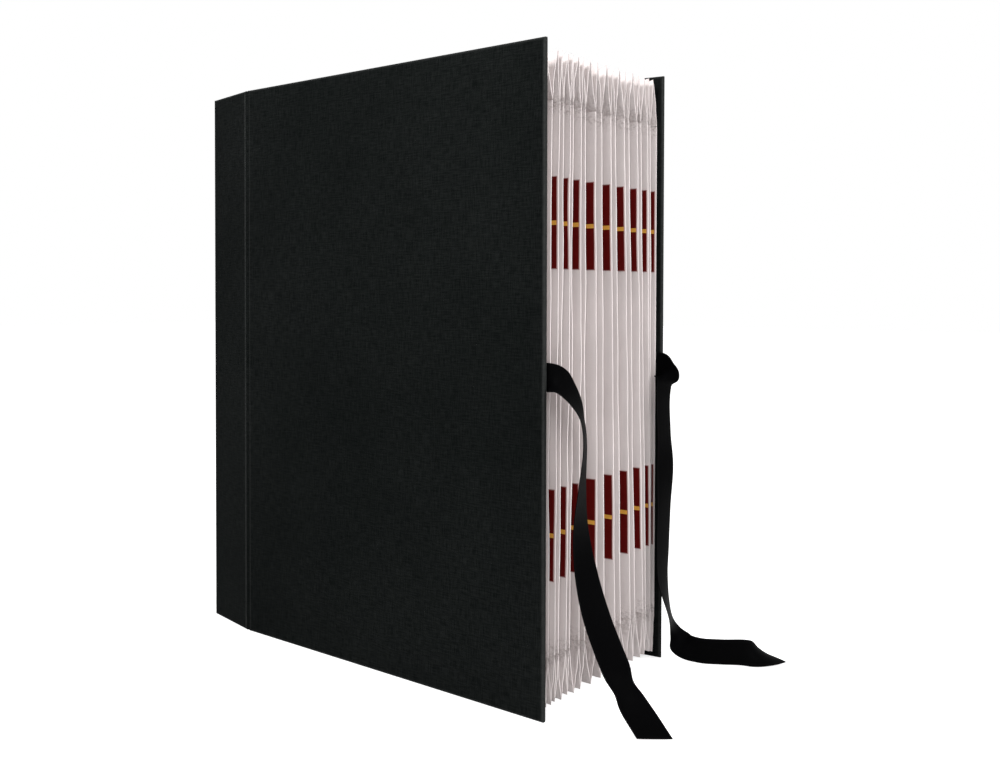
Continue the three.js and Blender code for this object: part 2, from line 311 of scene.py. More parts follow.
def makePaper(name, sheet, crinkle, streakShadeStrength, crumpleLevels):
    material, tree, shader = newMaterial(name, sheet)
    place = addNode(tree, "ShaderNodeTexCoord").outputs["Object"]
    mottle = useGroup(tree, mottleGroup, {"Vector": place, "Cloud Scale": 22.0, "Speck Scale": 1800.0})
    cloudy = blendColours(tree, spread(tree, mottle["Cloud"], 0.35, 0.75, 0.0, 0.45),
                          (*sheet, 1), (*paperLook["shade"], 1))
    # Where the pleats join the leaves, near two levels of the file, the paper is crumpled, and dark flecks
    # there are painted shade of the crumples
    height = addNode(tree, "ShaderNodeSeparateXYZ", {"Vector": place}).outputs["Z"]
    wander = addNode(tree, "ShaderNodeTexNoise", {"Vector": place, "Scale": 60.0, "Detail": 1.0}).outputs[0]
    level = calc(tree, "ADD", height, calc(tree, "MULTIPLY", calc(tree, "SUBTRACT", wander, 0.5), 0.012))
    near = [calc(tree, "ABSOLUTE", calc(tree, "SUBTRACT", level, z * mm)) for z in crumpleLevels]
    band = spread(tree, calc(tree, "MINIMUM", *near), 0.0018, 0.008, 1.0, 0.0)
    flecks = addNode(tree, "ShaderNodeTexNoise", {
        "Vector": place, "Scale": 520.0, "Detail": 3.0, "Roughness": 0.7}).outputs[0]
    dark = calc(tree, "MULTIPLY", band, spread(tree, flecks, 0.47, 0.66, 0.0, 0.9))
    creaseShade = blendColours(tree, dark, cloudy, (*paperLook["creaseShade"], 1))
    # Upright streaks of painted shade stand for the shade in fine vertical creases, stronger on the bellows
    upright = addNode(tree, "ShaderNodeMapping", {"Vector": place, "Scale": (260.0, 800.0, 16.0)})
    shadeStreakNoise = addNode(tree, "ShaderNodeTexNoise", {
        "Vector": upright.outputs[0], "Scale": 1.0, "Detail": 2.0}).outputs[0]
    streakShadeMask = calc(tree, "MULTIPLY", spread(tree, shadeStreakNoise, 0.5, 0.66), streakShadeStrength)
    colour = blendColours(tree, streakShadeMask, creaseShade, (*paperLook["creaseShade"], 1))
    tree.links.new(colour, shader.inputs["Base Color"])
    tree.links.new(spread(tree, mottle["Speck"], 0.3, 0.7, paperLook["roughness"] - 0.05,
                          paperLook["roughness"] + 0.08), shader.inputs["Roughness"])
    drawn = addNode(tree, "ShaderNodeMapping", {"Vector": place, "Scale": (1.0, 1.6, 0.2)})
    creases = addNode(tree, "ShaderNodeTexVoronoi", {"Vector": drawn.outputs[0], "Scale": 150.0},
                      {"feature": "DISTANCE_TO_EDGE"})
    crease = spread(tree, creases.outputs["Distance"], 0.0, 0.12)
    specks = calc(tree, "MULTIPLY", mottle["Speck"], 0.15)
    relief = calc(tree, "ADD", calc(tree, "MULTIPLY", crease, crinkle), specks)
    relief = calc(tree, "ADD", relief, calc(tree, "MULTIPLY", calc(tree, "MULTIPLY", flecks, band), 2.5))
    bump = addNode(tree, "ShaderNodeBump", {"Height": relief, "Strength": 0.6, "Distance": 0.0004})
    tree.links.new(bump.outputs[0], shader.inputs["Normal"])
    shader.inputs["Specular IOR Level"].default_value = paperLook["specular"]
    return material


labelLook = {
    "height": 48.5, "width": 15.0, "thickness": 0.25, "edgeMargin": 0.6, "offset": 82.0,
    "border": 1.2, "columns": 8, "rows": 22, "specular": 0.1,
    "red": (0.125, 0.003, 0.0026), "darkRed": (0.08, 0.002, 0.0019),
    "gold": (0.9, 0.46, 0.08), "paleEdge": (0.42, 0.26, 0.25),
    "stripeWidth": 2.3, "paleEdgeWidth": 0.35,
}


def makeLabelPaper():
    look = labelLook
    material, tree, shader = newMaterial("labelPaper", look["red"])
    uv = addNode(tree, "ShaderNodeUVMap", settings={"uv_map": "label"}).outputs[0]
    rim = addNode(tree, "ShaderNodeAttribute", settings={"attribute_name": "rim"}).outputs["Fac"]
    place = addNode(tree, "ShaderNodeTexCoord").outputs["Object"]
    mottle = useGroup(tree, mottleGroup, {"Vector": place, "Cloud Scale": 160.0, "Speck Scale": 2500.0})
    red = blendColours(tree, mottle["Cloud"], (*look["darkRed"], 1), (*look["red"], 1))
    split = addNode(tree, "ShaderNodeSeparateXYZ", {"Vector": uv})
    fromMiddle = calc(tree, "ABSOLUTE", split.outputs["Y"])
    halfStripe = look["stripeWidth"] / 2 * mm
    stripe = spread(tree, fromMiddle, halfStripe - 0.00008, halfStripe + 0.00008, 1.0, 0.0)
    colour = blendColours(tree, stripe, red, (*look["gold"], 1))
    edge = spread(tree, rim, look["paleEdgeWidth"] - 0.1, look["paleEdgeWidth"] + 0.1, 1.0, 0.0)
    tree.links.new(blendColours(tree, edge, colour, (*look["paleEdge"], 1)), shader.inputs["Base Color"])
    tree.links.new(spread(tree, stripe, 0.0, 1.0, 0.48, 0.34), shader.inputs["Roughness"])
    tree.links.new(calc(tree, "MULTIPLY", stripe, 0.25), shader.inputs["Metallic"])
    shader.inputs["Specular IOR Level"].default_value = look["specular"]
    bump = addNode(tree, "ShaderNodeBump", {
        "Height": mottle["Speck"], "Strength": 0.25, "Distance": 0.00008})
    tree.links.new(bump.outputs[0], shader.inputs["Normal"])
    return material


ribbonLook = {
    "colour": (0.0008, 0.0008, 0.0009), "ridge": (0.0025, 0.0025, 0.0028),
    "ribSpacing": 0.00045, "specular": 0.005,
}


def makeRibbonSatin():
    look = ribbonLook
    material, tree, shader = newMaterial("ribbonSatin", look["colour"])
    uv = addNode(tree, "ShaderNodeUVMap", settings={"uv_map": "ribbon"}).outputs[0]
    weave = useGroup(tree, weaveGroup, {
        "Vector": uv, "Thread Spacing": look["ribSpacing"], "Unevenness": 0.15})
    split = addNode(tree, "ShaderNodeSeparateXYZ", {"Vector": uv})
    fromMiddle = calc(tree, "ABSOLUTE", split.outputs["X"])
    selvedge = spread(tree, fromMiddle, 0.0064, 0.0069)
    ribs = spread(tree, weave["Height"], -0.2, 0.9, 0.0, 0.6)
    colour = blendColours(tree, ribs, (*look["colour"], 1), (*look["ridge"], 1))
    tree.links.new(blendColours(tree, calc(tree, "MULTIPLY", selvedge, 0.7), colour, (*look["ridge"], 1)),
                   shader.inputs["Base Color"])
    tree.links.new(spread(tree, weave["Height"], -0.3, 1.0, 0.5, 0.38), shader.inputs["Roughness"])
    height = calc(tree, "ADD", weave["Height"], selvedge)
    bump = addNode(tree, "ShaderNodeBump", {"Height": height, "Strength": 0.5, "Distance": 0.0001})
    tree.links.new(bump.outputs[0], shader.inputs["Normal"])
    shader.inputs["Specular IOR Level"].default_value = look["specular"]
    return material


bookCloth = makeBookCloth()
liningPaper = makeLining()
leafPaper = makePaper("leafPaper", paperLook["leaf"], 0.05, 0.12, (31.0, 319.0))
bellowsPaper = makePaper("bellowsPaper", paperLook["bellows"], 0.7, 0.42, (29.0, 321.0))
labelPaper = makeLabelPaper()
ribbonSatin = makeRibbonSatin()
print("materials made")


def newPiece(name, vertices, faces, material, uvs=None, uvName=None, rims=None):
    mesh = bpy.data.meshes.new(name)
    mesh.from_pydata([tuple(v) for v in vertices], [], faces)
    if uvs:
        layer = mesh.uv_layers.new(name=uvName)
        for loop in mesh.loops:
            layer.data[loop.index].uv = uvs[loop.vertex_index]
    if rims:
        attribute = mesh.attributes.new("rim", "FLOAT", "POINT")
        attribute.data.foreach_set("value", rims)
    mesh.materials.append(material)
    mesh.update()
    piece = bpy.data.objects.new(name, mesh)
    bpy.context.scene.collection.objects.link(piece)
    return piece


def tidyNormals(piece):
    work = bmesh.new()
    work.from_mesh(piece.data)
    bmesh.ops.remove_doubles(work, verts=work.verts, dist=1e-7)
    bmesh.ops.recalc_face_normals(work, faces=work.faces)
    work.to_mesh(piece.data)
    work.free()


def shadeSmooth(piece, angle):
    piece.data.polygons.foreach_set("use_smooth", [True] * len(piece.data.polygons))
    work = bmesh.new()
    work.from_mesh(piece.data)
    for edge in work.edges:
        edge.smooth = len(edge.link_faces) == 2 and edge.calc_face_angle(0) < math.radians(angle)
    work.to_mesh(piece.data)
    work.free()


# The walls of a tube made of rings of points, one after another
def ringFaces(rings, ring):
    faces = []
    for i in range(rings):
        for k in range(ring):
            a, b = i * ring + k, i * ring + (k + 1) % ring
            faces.append((a, b, b + ring, a + ring))
    return faces


# Once round the edge of a grid of points
def gridBorder(lastU, lastV):
    there = [(i, 0) for i in range(lastU + 1)] + [(lastU, j) for j in range(1, lastV + 1)]
    back = [(i, lastV) for i in range(lastU - 1, -1, -1)] + [(0, j) for j in range(lastV - 1, 0, -1)]
    return there + back


# The mesh that a piece's modifiers make of it
def finishedMesh(piece):
    seen = piece.evaluated_get(bpy.context.evaluated_depsgraph_get())
    return bpy.data.meshes.new_from_object(seen)


def settle(piece, body, node):
    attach(piece, body)
    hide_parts(*([node] if isinstance(node, str) else node))


# Ribbon ties. Each row is a point of the centre line in mm from the cover's fore edge, then the
# way across the ribbon there.
ribbonSizes = {
    "width": 15.0, "thickness": 0.55, "cadThickness": 0.8, "exitHeight": 177.0, "seat": 2.4,
    "cup": 0.1, "edgeThinning": 0.35, "steps": 170, "columns": 7,
}
ribbonRoutes = {
    "front": [
        (0.8, 0.15, 0, 0, 0, 1), (4.2, 0.8, -0.9, -0.08, 0.35, 0.92), (8.8, 1.7, -4, -0.25, 0.7, 0.65),
        (15, 3, -12, -0.3, 0.9, 0.3), (19, 3.6, -22, -0.45, 0.89, 0.05),
        (20.2, 3.8, -34, -0.42, 0.9, 0.15), (18.6, 3.8, -55, -0.3, 0.95, 0),
        (17.8, 3.8, -76, -0.05, 1, 0.05), (20.6, 4.4, -98, 0.25, 0.95, 0.15),
        (26.4, 5.4, -120, 0.5, 0.85, 0.25), (36, 7, -143, 0.6, 0.75, 0.3),
        (41, 7.9, -153.5, 0.15, 0.95, 0.25), (45.5, 8.7, -161, 0.5, 0.8, 0.3), (53, 10, -171, 0.8, 0.6, 0.1),
    ],
    "back": [
        (0.8, -0.1, 0, 0, 0, 1), (3.2, -0.5, -2.4, 0.15, 0, 1), (4.8, -1.2, -6.5, 0.55, 0.5, 0.5),
        (3.4, -2, -12, 0.15, 0.97, 0.15), (3.4, -2.8, -24, 0.05, 1, 0), (4.2, -3, -40, 0.05, 1, 0),
        (5, -3, -60, 0.2, 0.95, 0), (4.4, -3, -85, 0.05, 1, 0), (3.8, -3, -110, 0, 1, 0),
        (4, -3, -128, -0.1, 1, 0), (7.5, -2, -146, -0.4, 0.9, 0.15), (10.5, -0.6, -158, -0.3, 0.6, 0.6),
        (15, 1.8, -166.4, 0, 0.15, 1), (24, 5, -168.9, 0, 0, 1), (36, 10, -168.9, 0, 0, 1),
        (48, 17.5, -169, -0.1, 0.1, 0.8), (55, 27, -172.4, -0.5, 0.5, 0.35), (60, 37, -175.2, -0.8, 0.4, 0),
    ],
}


# The same spline through the points as the part's own curve
def routePoint(points, t):
    last = len(points) - 1
    p = last * t
    i = min(int(p), last - 1)
    w = p - i
    before = points[i - 1] if i > 0 else points[0] * 2 - points[1]
    after = points[i + 2] if i + 2 <= last else points[last] * 2 - points[last - 1]
    four = [before, points[i], points[i + 1], after]
    steps = [max((four[k + 1] - four[k]).length_squared ** 0.25, 1e-6) for k in range(3)]
    out = []
    for a, b, c, d in zip(*four):
        t1 = ((b - a) / steps[0] - (c - a) / (steps[0] + steps[1]) + (c - b) / steps[1]) * steps[1]
        t2 = ((c - b) / steps[1] - (d - b) / (steps[1] + steps[2]) + (d - c) / steps[2]) * steps[1]
        out.append(b + t1 * w + (-3 * b + 3 * c - 2 * t1 - t2) * w * w + (2 * b - 2 * c + t1 + t2) * w ** 3)
    return Vector(out)


def makeRibbon(side, direction):
    sizes = ribbonSizes
    seat = sizes["seat"]
    rows = [(-seat, -direction * seat * math.tan(coverSplay), 0, 0, 0, 1)] + ribbonRoutes[side]
    coverDepth = (boardThickness + gap + sizes["cadThickness"] / 2) / math.cos(coverSplay)
    inner = caseSizes["mouthThickness"] / 2 - coverDepth
    start = Vector((foreEdgeX - centreX, direction * inner, sizes["exitHeight"]))
    line = [Vector(row[:3]) + start for row in rows]
    ways = [Vector(row[3:]) for row in rows]
    steps = sizes["steps"]
    centres = [routePoint(line, i / steps) for i in range(steps + 1)]
    vertices, uvs, travelled = [], [], 0.0
    columns = sizes["columns"]
    ring = 2 * columns
    for i, centre in enumerate(centres):
        along = (centres[min(i + 1, steps)] - centres[max(i - 1, 0)]).normalized()
        across = routePoint(ways, i / steps)
        across = (across - along * across.dot(along)).normalized()
        face = along.cross(across).normalized()
        travelled += (centre - centres[i - 1]).length if i else 0
        for layer in (1, -1):
            for k in range(columns) if layer > 0 else reversed(range(columns)):
                u = 2 * k / (columns - 1) - 1
                cup = sizes["cup"] * math.cos(u * math.pi / 2)
                edge = 1 - sizes["edgeThinning"] * abs(u) ** 6
                lift = layer * sizes["thickness"] / 2 * edge + cup
                spot = centre + across * (u * sizes["width"] / 2) + face * lift
                if side == "front" and i == steps:  # its cut end is level with the floor
                    spot += along * max(0.0, (spot.z - sizes["cadThickness"]) / -along.z)
                vertices.append(spot * mm)
                uvs.append((u * sizes["width"] / 2 * mm, travelled * mm))
    faces = ringFaces(steps, ring)
    faces.append(tuple(range(ring))[::-1])
    faces.append(tuple(steps * ring + k for k in range(ring)))
    piece = newPiece(f"{side}RibbonTie", vertices, faces, ribbonSatin, uvs, "ribbon")
    tidyNormals(piece)
    shadeSmooth(piece, 50)
    centres[-1] = sum(vertices[-ring:], Vector()) / ring / mm
    path = [tuple(c * mm) for c in centres]
    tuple(path[0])
    settle(piece, side, f"{side}_ribbon")


makeRibbon("front", -1)
makeRibbon("back", 1)


# Boards: each stands out from its joint at its own angle, with the cloth turned round its edges
boardLook = {"edgeRadius": 0.9, "rimLines": [0.25, 1.0, 2.5, 8.0], "lineSpacing": 12}


def boardStations(length):
    radius = boardLook["edgeRadius"]
    corner = [(radius * (1 - math.cos(a)), radius * (1 - math.sin(a)))
              for a in (0, math.pi / 8, math.pi / 4, 3 * math.pi / 8, math.pi / 2)]
    inside = [s + radius for s in boardLook["rimLines"]]
    count = max(2, round((length - 2 * inside[-1]) / boardLook["lineSpacing"]))
    middle = [inside[-1] + (length - 2 * inside[-1]) * k / count for k in range(1, count)]
    low = [(s, drop) for s, drop in corner] + [(s, 0) for s in inside]
    high = [(length - s, drop) for s, drop in reversed(low)]
    return low + [(s, 0) for s in middle] + high


def makeBoard(name, corner, angle, start, width, inward, body, node):
    radius = boardLook["edgeRadius"]
    along = Vector((math.cos(angle), math.sin(angle), 0))
    inwards = Vector((-math.sin(angle), math.cos(angle), 0)) * inward
    us, vs = boardStations(width), boardStations(caseHeight)
    vertices, faces, uvs, rims, index = [], [], [], [], {}
    for layer in (0, 1):
        for i, (u, dropU) in enumerate(us):
            for j, (v, dropV) in enumerate(vs):
                drop = min(radius, math.hypot(dropU, dropV)) if dropU and dropV else max(dropU, dropV)
                depth = drop if layer == 0 else boardThickness - drop
                spot = Vector((corner[0], corner[1], v)) + along * (start + u) + inwards * depth
                index[layer, i, j] = len(vertices)
                vertices.append(toFrame(*spot))
                uvs.append(((start + u + (depth if i in (0, len(us) - 1) else 0)) * mm, v * mm))
                rims.append(min(u, width - u, v, caseHeight - v))
    for layer in (0, 1):
        for i in range(len(us) - 1):
            for j in range(len(vs) - 1):
                quad = [index[layer, a, b] for a, b in ((i, j), (i + 1, j), (i + 1, j + 1), (i, j + 1))]
                faces.append(quad if layer == 0 else quad[::-1])
    border = gridBorder(len(us) - 1, len(vs) - 1)
    for k, spot in enumerate(border):
        ahead = border[(k + 1) % len(border)]
        faces.append([index[(0, *spot)], index[(0, *ahead)], index[(1, *ahead)], index[(1, *spot)]])
    piece = newPiece(name, vertices, faces, bookCloth, uvs, "cloth", rims)
    tidyNormals(piece)
    shadeSmooth(piece, 60)
    settle(piece, body, node)


def makeCase():
    makeBoard("spineBoard", (0, -spineWidth / 2), math.pi / 2, halfJoint,
              caseSizes["spineBoardWidth"], -1, "case", "spine_board")
    for side, inward in (("front", 1), ("back", -1)):
        makeBoard(f"{side}HingeStrip", (0, -inward * spineWidth / 2), -inward * stripSplay, halfJoint,
                  caseSizes["hingeStripWidth"], inward, "case", f"{side}_hinge_strip")
        makeBoard(f"{side}CoverBoard", (hingeX, -inward * hingeY), -inward * coverSplay, halfJoint,
                  caseSizes["coverBoardWidth"], inward, side, f"{side}_cover")
    for name in ("spine_lining", "front_lining", "back_lining"):
        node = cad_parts[name]
        node.data.materials.clear()
        node.data.materials.append(liningPaper)


makeCase()
print("boards made")


# Cloth joints: the book cloth pressed into the groove between two boards
clothJointLook = {
    "reach": 1.95, "groove": 1.5, "thickness": 0.6, "rows": 12, "levels": 60, "shoulder": 0.35,
    "ridge": 0.35, "ridgePlace": 0.42, "ridgeWidth": 0.16, "rowLength": 0.35, "fromRim": 8.0,
}


def makeClothJoint(name, corner, before, after, inward, node, blendTo=None):
    look = clothJointLook
    quarter = inward * math.pi / 2
    turned = lambda angle: Vector((math.cos(angle), math.sin(angle), 0))
    back, ahead = -turned(before), turned(after)
    bisector = (turned(before + quarter) + turned(after + quarter)).normalized()
    outer, inner = [], []
    for k in range(look["rows"] + 1):
        s = 2 * k / look["rows"] - 1
        leg = back * -s if s < 0 else ahead * s
        valley = 0.5 + 0.5 * math.cos(math.pi * abs(s) ** 0.8)
        ridge = math.exp(-((abs(s) - look["ridgePlace"]) / look["ridgeWidth"]) ** 2) * look["ridge"]
        depth = look["shoulder"] + (look["groove"] - look["shoulder"]) * valley - ridge * 0.6
        outer.append(leg * look["reach"] + bisector * depth)
        inner.append(leg * look["reach"] + bisector * (depth + look["thickness"]))
    outline = outer + inner[::-1]
    levels = look["levels"]
    vertices, uvs, rims = [], [], []
    for j in range(levels + 1):
        z = caseHeight * j / levels
        for k, point in enumerate(outline):
            spot = Vector((corner[0], corner[1], z)) + point
            vertices.append(toFrame(*spot))
            uvs.append((k * look["rowLength"] * mm, z * mm))
            rims.append(look["fromRim"])
    ring = len(outline)
    faces = ringFaces(levels, ring)
    for k in range(look["rows"]):
        faces.append((k, k + 1, ring - 2 - k, ring - 1 - k))
        top = levels * ring
        faces.append((top + ring - 1 - k, top + ring - 2 - k, top + k + 1, top + k))
    piece = newPiece(name, vertices, faces, bookCloth, uvs, "cloth", rims)
    tidyNormals(piece)
    shadeSmooth(piece, 60)
    if blendTo:
        # This cloth is left where it is, attached to no body, and its part is hidden
        toFrame(corner[0] - 1.5, corner[1], 0)
        toFrame(corner[0] + 1.5, corner[1], 0)
        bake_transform(piece)
        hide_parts(node)
    else:
        settle(piece, "case", node)


for side, inward in (("front", 1), ("back", -1)):
    makeClothJoint(f"{side}SpineCloth", (0, -inward * spineWidth / 2), -inward * math.pi / 2,
                   -inward * stripSplay, inward, f"{side}_spine_cloth")
    makeClothJoint(f"{side}HingeCloth", (hingeX, -inward * hingeY), -inward * stripSplay,
                   -inward * coverSplay, inward, f"{side}_hinge_cloth", side)
print("cloth joints made")


# The fan of pockets: the leaves' plan, which leaves, bellows and labels share
pocketPlan = {
    "count": 18, "leafThickness": 0.6, "leafInset": 3.0, "mouthRecess": 3.0, "gussetDepth": 27.0,
    "backFoldDepth": 9.0, "crowding": 0.05, "lean": 3.0, "leanGrowth": 9.5, "leanLevel": 257.0,
    "leanSpan": 164.0,
}
mouthX = foreEdgeX - pocketPlan["mouthRecess"]
leafStartX = liningDepth + gap + pocketPlan["backFoldDepth"] + gap
leafBottom = pocketPlan["leafInset"] + pocketPlan["gussetDepth"] + gap
leafTop = caseHeight - leafBottom
innerOffset = liningDepth + gap + pocketPlan["leafThickness"] / 2
startHalf = spineWidth / 2 + leafStartX * math.tan(stripSplay) - innerOffset / math.cos(stripSplay)
hingeHalf = hingeY - innerOffset / math.cos(coverSplay)
mouthHalf = (caseSizes["mouthThickness"] / 2 - innerOffset / math.cos(coverSplay)
             - pocketPlan["mouthRecess"] * math.tan(coverSplay))


def halfWidth(x):
    if x < hingeX:
        return startHalf + (hingeHalf - startHalf) * (x - leafStartX) / (hingeX - leafStartX)
    return hingeHalf + (mouthHalf - hingeHalf) * (x - hingeX) / (mouthX - hingeX)


def foldPlace(index):
    even = 2 * index / pocketPlan["count"] - 1
    return even + pocketPlan["crowding"] * math.sin(math.pi * even)


# The middle leaves lean towards the back cover at the bottom, and the ones between the labelled
# leaves lie nearer the front, each by its own amount in mm
pocketSlack = {
    1: 0.9, 2: 2.2, 3: -0.2, 4: 0.4, 5: -3.6, 6: -2.2, 7: -5.0, 8: -1.4, 9: -2.5,
    10: 0.2, 11: -2.3, 12: 0.9, 13: -1.0, 14: 2.2, 15: 0.0, 16: 1.8, 17: -1.6,
}


def leafShift(index, x, z):
    plan = pocketPlan
    even = 2 * index / plan["count"] - 1
    fan = max(0.0, (x - leafStartX) / (mouthX - leafStartX))
    most = (1 - even * even) * (plan["lean"] + plan["leanGrowth"] * even)
    lean = most * (plan["leanLevel"] - z) / plan["leanSpan"]
    return (lean + pocketSlack.get(index, 0.0)) * fan


def foldShift(index, x, z):
    low = math.floor(index)
    part = index - low
    if part == 0:
        return leafShift(low, x, z)
    return leafShift(low, x, z) * (1 - part) + leafShift(low + 1, x, z) * part


def leafY(index, x, z):
    return foldPlace(index) * halfWidth(x) + foldShift(index, x, z)


# Leaves: one geometry nodes tree bends a sheet to the plan, with small waves of its own
leafLook = {
    "columns": 56, "rows": 40, "wave": 4.6, "frontWave": 6.5, "frontLeaves": 7, "waveLength": 60.0,
    "seed": 3, "seedStep": 1.7,
}


def makeLeafTree():
    tree = bpy.data.node_groups.new("pocketLeaf", "GeometryNodeTree")
    sockets = {}
    tree.interface.new_socket("Geometry", in_out="OUTPUT", socket_type="NodeSocketGeometry")
    for label, kind in (
        ("Start X", "Float"), ("Hinge X", "Float"), ("Mouth X", "Float"),
        ("Start Y", "Float"), ("Hinge Y", "Float"), ("Mouth Y", "Float"),
        ("Hinge Lean", "Float"), ("Mouth Lean", "Float"), ("Lean Level", "Float"),
        ("Bottom", "Float"), ("Top", "Float"), ("Leaf Thickness", "Float"),
        ("Wave Height", "Float"), ("Wave Length", "Float"), ("Seed", "Float"), ("Paper", "Material"),
    ):
        socket = tree.interface.new_socket(label, in_out="INPUT", socket_type=f"NodeSocket{kind}")
        sockets[label] = socket.identifier
    given = tree.nodes.new("NodeGroupInput").outputs
    result = tree.nodes.new("NodeGroupOutput").inputs
    grid = addNode(tree, "GeometryNodeMeshGrid", {
        "Size X": 1.0, "Size Y": 1.0,
        "Vertices X": leafLook["columns"] + 1, "Vertices Y": leafLook["rows"] + 1})
    position = addNode(tree, "GeometryNodeInputPosition").outputs[0]
    place = addNode(tree, "ShaderNodeSeparateXYZ", {"Vector": position})
    u = calc(tree, "ADD", place.outputs["X"], 0.5)
    v = calc(tree, "ADD", place.outputs["Y"], 0.5)
    x = spread(tree, u, 0.0, 1.0, given["Start X"], given["Mouth X"])
    z = spread(tree, v, 0.0, 1.0, given["Bottom"], given["Top"])
    nearSpine = spread(tree, x, given["Start X"], given["Hinge X"], given["Start Y"], given["Hinge Y"])
    toMouth = spread(tree, x, given["Hinge X"], given["Mouth X"], given["Hinge Y"], given["Mouth Y"])
    pastHinge = calc(tree, "GREATER_THAN", x, given["Hinge X"])
    base = addNode(tree, "ShaderNodeMix", {0: pastHinge, 2: nearSpine, 3: toMouth}).outputs[0]
    leanNear = spread(tree, x, given["Start X"], given["Hinge X"], 0.0, given["Hinge Lean"])
    leanFar = spread(tree, x, given["Hinge X"], given["Mouth X"], given["Hinge Lean"], given["Mouth Lean"])
    lean = addNode(tree, "ShaderNodeMix", {0: pastHinge, 2: leanNear, 3: leanFar}).outputs[0]
    lean = calc(tree, "MULTIPLY", lean, calc(tree, "SUBTRACT", given["Lean Level"], z))
    spot = addNode(tree, "ShaderNodeCombineXYZ", {"X": x, "Y": 0.0, "Z": z})
    scaled = addNode(tree, "ShaderNodeVectorMath", {0: spot.outputs[0]}, {"operation": "SCALE"})
    join(tree, calc(tree, "DIVIDE", 1.0, given["Wave Length"]), scaled.inputs["Scale"])
    ripple = addNode(tree, "ShaderNodeTexNoise", {
        "Vector": scaled.outputs[0], "W": given["Seed"], "Scale": 1.0, "Detail": 1.0},
        {"noise_dimensions": "4D"})
    wave = calc(tree, "MULTIPLY", calc(tree, "SUBTRACT", ripple.outputs[0], 0.5), given["Wave Height"])
    # The waves are free at the mouth and held by the folds at the top, bottom and spine
    held = calc(tree, "MULTIPLY", calc(tree, "SINE", calc(tree, "MULTIPLY", v, math.pi)), u)
    wave = calc(tree, "MULTIPLY", wave, held)
    y = calc(tree, "ADD", calc(tree, "ADD", base, lean), wave)
    bent = addNode(tree, "ShaderNodeCombineXYZ", {"X": x, "Y": y, "Z": z})
    sheet = addNode(tree, "GeometryNodeSetPosition", {
        "Geometry": grid.outputs["Mesh"], "Position": bent.outputs[0]})
    halfBack = calc(tree, "MULTIPLY", given["Leaf Thickness"], -0.5)
    lowered = addNode(tree, "ShaderNodeCombineXYZ", {"Y": halfBack})
    centred = addNode(tree, "GeometryNodeSetPosition", {
        "Geometry": sheet.outputs[0], "Offset": lowered.outputs[0]})
    pushOut = addNode(tree, "ShaderNodeCombineXYZ", {"Y": given["Leaf Thickness"]})
    thick = addNode(tree, "GeometryNodeExtrudeMesh", {
        "Mesh": centred.outputs[0], "Offset": pushOut.outputs[0], "Offset Scale": 1.0, "Individual": False})
    turned = addNode(tree, "GeometryNodeFlipFaces", {"Mesh": centred.outputs[0]})
    both = tree.nodes.new("GeometryNodeJoinGeometry")
    tree.links.new(thick.outputs["Mesh"], both.inputs[0])
    tree.links.new(turned.outputs[0], both.inputs[0])
    merged = addNode(tree, "GeometryNodeMergeByDistance", {"Geometry": both.outputs[0], "Distance": 1e-6})
    real = addNode(tree, "GeometryNodeRealizeInstances", {"Geometry": merged.outputs[0]})
    painted = addNode(tree, "GeometryNodeSetMaterial", {
        "Geometry": real.outputs[0], "Material": given["Paper"]})
    tree.links.new(painted.outputs[0], result["Geometry"])
    return tree, sockets


def growPiece(name, tree, sockets, values):
    maker = bpy.data.objects.new("maker", bpy.data.meshes.new("empty"))
    bpy.context.scene.collection.objects.link(maker)
    modifier = maker.modifiers.new("nodes", "NODES")
    modifier.node_group = tree
    for label, value in values.items():
        modifier[sockets[label]] = value
    grown = finishedMesh(maker)
    maker.modifiers.clear()
    bpy.data.objects.remove(maker)
    piece = bpy.data.objects.new(name, grown)
    bpy.context.scene.collection.objects.link(piece)
    return piece


def makeLeaves():
    tree, sockets = makeLeafTree()
    for i in range(pocketPlan["count"] + 1):
        leanRate = lambda x: foldShift(i, x, 0) - foldShift(i, x, 1)
        level = pocketPlan["leanLevel"]
        # The front leaves hang less flat, and the outermost two are straight beside the covers
        wave = leafLook["frontWave"] if i < leafLook["frontLeaves"] else leafLook["wave"]
        wave *= i not in (0, pocketPlan["count"])
        values = {
            "Start X": (leafStartX - centreX) * mm, "Hinge X": (hingeX - centreX) * mm,
            "Mouth X": (mouthX - centreX) * mm,
            "Start Y": leafY(i, leafStartX, level) * mm, "Hinge Y": leafY(i, hingeX, level) * mm,
            "Mouth Y": leafY(i, mouthX, level) * mm,
            "Hinge Lean": leanRate(hingeX), "Mouth Lean": leanRate(mouthX), "Lean Level": level * mm,
            "Bottom": leafBottom * mm, "Top": leafTop * mm,
            "Leaf Thickness": pocketPlan["leafThickness"] * mm,
            "Wave Height": wave * mm, "Wave Length": leafLook["waveLength"] * mm,
            "Seed": leafLook["seed"] + leafLook["seedStep"] * i, "Paper": leafPaper,
        }
        piece = growPiece(f"pocketLeaf{i:02d}", tree, sockets, values)
        shadeSmooth(piece, 40)
        settle(piece, "case", f"leaf_{i:02d}")


makeLeaves()
print("leaves made")


# Bellows: one sheet pleated between the leaves, with crumpled folds
bellowsLook = {
    "panelSteps": 6, "alongSteps": 90, "backSteps": 30, "mouthCrowding": 0.8, "thickness": 0.55,
    "tipJitter": 2.2, "tipDrop": 0.9, "tipWander": 2.4,
    "topLift": 0.9, "bottomLift": 0.1, "liftStart": 0.96, "liftSpan": 0.04,
    "ragged": 1.6, "raggedStart": 0.97, "raggedSpan": 0.03,
    "panelCrease": 0.7, "fineCrease": 0.25, "crumpleBand": 0.36, "crumpleDepth": 1.5, "backCrease": 0.4,
    "backSlack": 0.8, "seed": 11, "bottomSeed": 31, "backSeed": 57,
}


def crumple(a, b, c):
    return noise.noise(Vector((a, b, c)))


def pleatShape(q):
    fold = q % 2
    rise = fold if fold <= 1 else 2 - fold
    middle = 1 - abs(2 * (q % 1) - 1)
    return rise, middle


